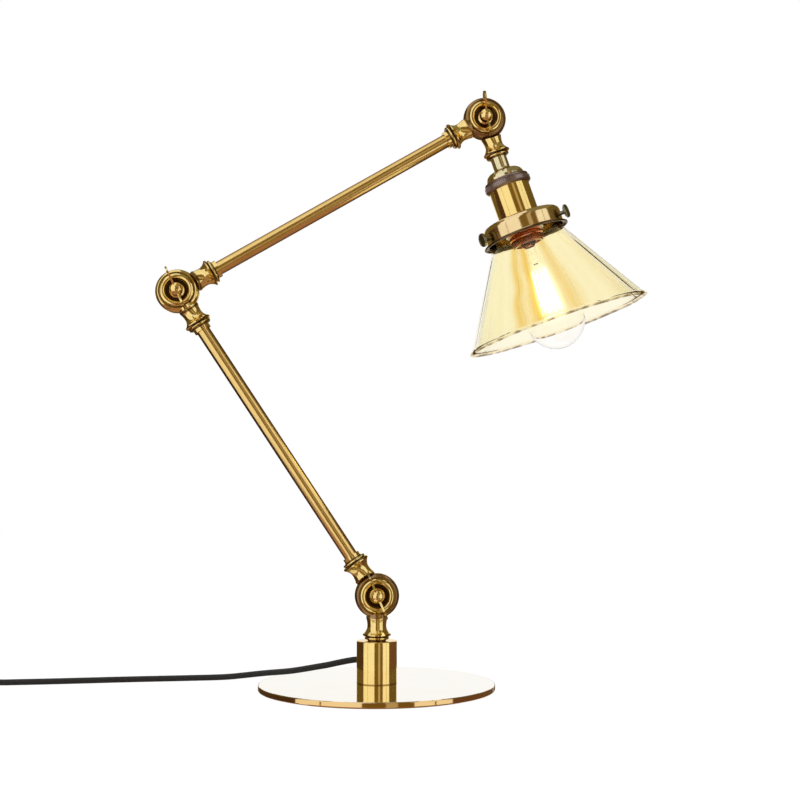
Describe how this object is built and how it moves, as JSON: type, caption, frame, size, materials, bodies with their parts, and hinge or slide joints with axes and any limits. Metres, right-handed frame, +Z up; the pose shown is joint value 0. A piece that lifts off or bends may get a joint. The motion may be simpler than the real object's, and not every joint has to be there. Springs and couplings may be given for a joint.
{
  "type": "desk lamp",
  "caption": "Adjustable desk lamp with a round base, tubular arms on wing-screw swivels and a tilting lampholder that carries a fluted conical glass shade over a clear bulb.",
  "frame": {"origin": "centre of the underside of the foot pad, on the table", "axes": "+X along the plane of the arms, to the side where the lampholder hangs; +Y to the back; +Z up"},
  "size_m": [0.5922, 0.176, 0.4398],
  "materials": {
    "pad": "soft matt",
    "plate": "polished antique brass",
    "casting": "lacquered antique brass",
    "tube": "lacquered antique brass",
    "wing": "lacquered antique brass",
    "thread": "turned",
    "steel": "zinc plated",
    "fibre": "pressed fibre",
    "wire": "insulated",
    "bushing": "matt",
    "ring": "antiqued",
    "porcelain": "glazed",
    "contact": "bright",
    "gallery": "lacquered antique brass",
    "thumb": "antiqued",
    "shade_glass": "clear, faintly amber",
    "bulb_glass": "clear",
    "bulb_cap": "bright",
    "filament": "glowing",
    "cord": "braided cover",
    "case": "moulded",
    "rocker": "moulded",
    "blades": "nickel plated"
  },
  "bodies": {
    "base": {"base_pad": "pad", "base_plate": "plate", "column": "casting", "column_foot": "steel", "column_screw": "steel", "column_nipple": "thread", "nipple_nut": "thread", "cord_bushing": "bushing", "base_wires": "wire", "base_swivel": "casting", "cord_lead": "cord", "switch_base": "case", "switch_cover": "case", "cord_link": "cord", "cord_coil": "cord", "cord_tail": "cord", "plug_body": "case", "plug_blades": "blades"},
    "base_clamp": {"base_clamp_screw": "wing"},
    "lower_arm": {"base_clamp_washer": "fibre", "base_clamp_nut": "casting", "lower_arm_foot": "casting", "lower_arm_tube": "tube", "lower_arm_head": "casting", "lower_arm_wires": "wire"},
    "elbow_clamp": {"elbow_clamp_screw": "wing"},
    "upper_arm": {"elbow_clamp_washer": "fibre", "elbow_clamp_nut": "casting", "upper_arm_foot": "casting", "upper_arm_tube": "tube", "upper_arm_head": "casting", "upper_arm_wires": "wire"},
    "head_clamp": {"head_clamp_screw": "wing"},
    "head": {"head_clamp_washer": "fibre", "head_clamp_nut": "casting", "head_swivel": "casting", "head_nipple": "thread", "head_wires": "wire", "holder_cap": "casting", "holder_ring": "ring", "holder_shell": "casting", "holder_core": "porcelain", "screw_contact": "contact", "centre_contact": "contact", "gallery": "gallery", "gallery_nut": "gallery", "shade": "shade_glass"},
    "thumb_left": {"thumbscrew_left": "thumb"},
    "thumb_right": {"thumbscrew_right": "thumb"},
    "thumb_back": {"thumbscrew_back": "thumb"},
    "bulb": {"bulb_glass": "bulb_glass", "bulb_cap": "bulb_cap", "bulb_mount": "bulb_glass", "bulb_filament": "filament"},
    "rocker": {"switch_rocker": "rocker"}
  },
  "joints": [
    {"name": "lower_arm_tilt", "type": "hinge", "parent": "base", "child": "lower_arm", "pos_m": [0, 0, 0.0662], "axis": [0, 1, 0], "range_deg": [-45, 40]},
    {"name": "elbow_tilt", "type": "hinge", "parent": "lower_arm", "child": "upper_arm", "pos_m": [-0.14665, 0, 0.28692], "axis": [0, 1, 0], "range_deg": [-88, 24]},
    {"name": "head_tilt", "type": "hinge", "parent": "upper_arm", "child": "head", "pos_m": [0.08098, 0, 0.42262], "axis": [0, 1, 0], "range_deg": [-120, 20]},
    {"name": "base_wing_turn", "type": "hinge", "parent": "base", "child": "base_clamp", "pos_m": [0, 0, 0.0662], "axis": [0, -1, 0], "range_deg": [0, 180]},
    {"name": "elbow_wing_turn", "type": "hinge", "parent": "lower_arm", "child": "elbow_clamp", "pos_m": [-0.14665, 0, 0.28692], "axis": [0, -1, 0], "range_deg": [0, 180]},
    {"name": "head_wing_turn", "type": "hinge", "parent": "upper_arm", "child": "head_clamp", "pos_m": [0.08098, 0, 0.42262], "axis": [0, -1, 0], "range_deg": [0, 180]},
    {"name": "thumb_left_turn", "type": "hinge", "parent": "head", "child": "thumb_left", "pos_m": [0.08441, -0.00725, 0.32909], "axis": [-0.9138, -0.2588, -0.3129], "range_deg": [0, 180]},
    {"name": "thumb_right_turn", "type": "hinge", "parent": "head", "child": "thumb_right", "pos_m": [0.1327, -0.01442, 0.34562], "axis": [0.811, -0.515, 0.2777], "range_deg": [0, 180]},
    {"name": "thumb_back_turn", "type": "hinge", "parent": "head", "child": "thumb_back", "pos_m": [0.11368, 0.02773, 0.33911], "axis": [0.1317, 0.9903, 0.0451], "range_deg": [0, 180]},
    {"name": "bulb_turn", "type": "hinge", "parent": "head", "child": "bulb", "pos_m": [0.11661, 0, 0.31855], "axis": [0.3239, 0, -0.9461], "range_deg": [0, 90]},
    {"name": "rocker_tilt", "type": "hinge", "parent": "base", "child": "rocker", "pos_m": [-0.329, 0.035, 0.0144], "axis": [0, 1, 0], "range_deg": [-14, 0]}
  ]
}
